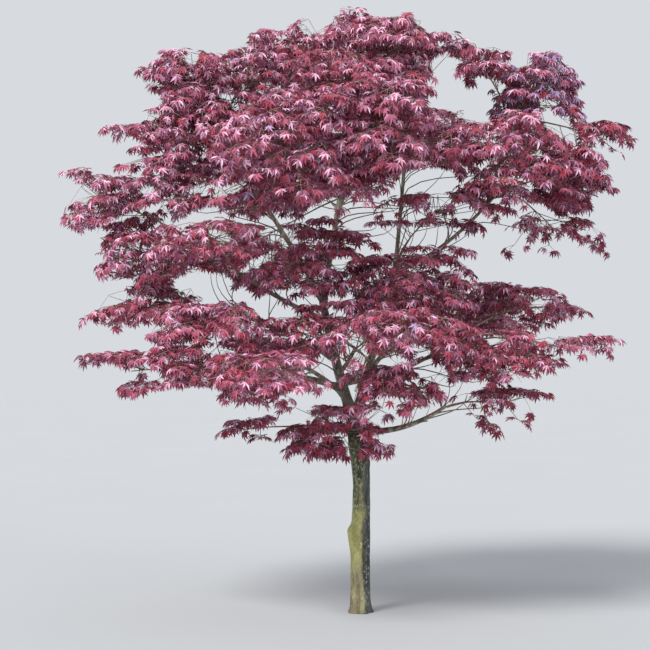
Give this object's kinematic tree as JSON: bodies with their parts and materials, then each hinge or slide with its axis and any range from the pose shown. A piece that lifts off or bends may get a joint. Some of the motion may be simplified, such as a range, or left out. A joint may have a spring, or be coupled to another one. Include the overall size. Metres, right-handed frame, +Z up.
{
  "type": "japanese maple tree",
  "caption": "Small red-leaved Japanese maple on one straight stem that forks low into spreading boughs with layered, drooping masses of lobed leaves.",
  "frame": {"origin": "middle of the flat cut under the trunk, at ground level", "axes": "+Z up, +X to the right of the tree's front as pictured, +Y from its front to its back"},
  "size_m": [3.427, 2.6454, 3.6252],
  "materials": {
    "trunk_bark": "smooth grey bark with moss, matt",
    "bough_bark": "smooth grey-brown bark, matt",
    "foliage": "satin leaves, dark red to purple"
  },
  "bodies": {
    "root": {"trunk": "trunk_bark", "bough_back_left": "bough_bark", "bough_back_right": "bough_bark", "bough_back_upper": "bough_bark", "bough_centre": "bough_bark", "bough_front": "bough_bark", "bough_leader": "bough_bark", "bough_left_crown": "bough_bark", "bough_left_low": "bough_bark", "bough_left_mid": "bough_bark", "bough_left_outer": "bough_bark", "bough_right_crown": "bough_bark", "bough_right_leader": "bough_bark", "bough_right_low": "bough_bark", "bough_right_mid": "bough_bark", "bough_right_outer": "bough_bark", "bough_right_top": "bough_bark", "bough_upper_left": "bough_bark", "foliage_back_left_low": "foliage", "foliage_back_middle_left": "foliage", "foliage_back_right": "foliage", "foliage_back_upper_left": "foliage", "foliage_back_upper_right": "foliage", "foliage_centre_front": "foliage", "foliage_centre_heart": "foliage", "foliage_centre_left": "foliage", "foliage_centre_right": "foliage", "foliage_centre_upper": "foliage", "foliage_front_left": "foliage", "foliage_front_low": "foliage", "foliage_front_right": "foliage", "foliage_left_far": "foliage", "foliage_left_inner": "foliage", "foliage_left_low_inner": "foliage", "foliage_left_low_middle": "foliage", "foliage_left_low_tip": "foliage", "foliage_left_middle": "foliage", "foliage_left_outer": "foliage", "foliage_left_shelf": "foliage", "foliage_left_tip_upper": "foliage", "foliage_left_upper_inner": "foliage", "foliage_low_centre": "foliage", "foliage_low_left": "foliage", "foliage_right_inner": "foliage", "foliage_right_low": "foliage", "foliage_right_middle": "foliage", "foliage_right_middle_tip": "foliage", "foliage_right_outer": "foliage", "foliage_right_shelf": "foliage", "foliage_right_shoulder": "foliage", "foliage_right_tip": "foliage", "foliage_right_top": "foliage", "foliage_right_top_lobe": "foliage", "foliage_right_under": "foliage", "foliage_right_upper": "foliage", "foliage_top_centre": "foliage", "foliage_top_left": "foliage", "foliage_top_right": "foliage", "foliage_upper_left": "foliage", "foliage_upper_left_tip": "foliage"}
  },
  "joints": []
}
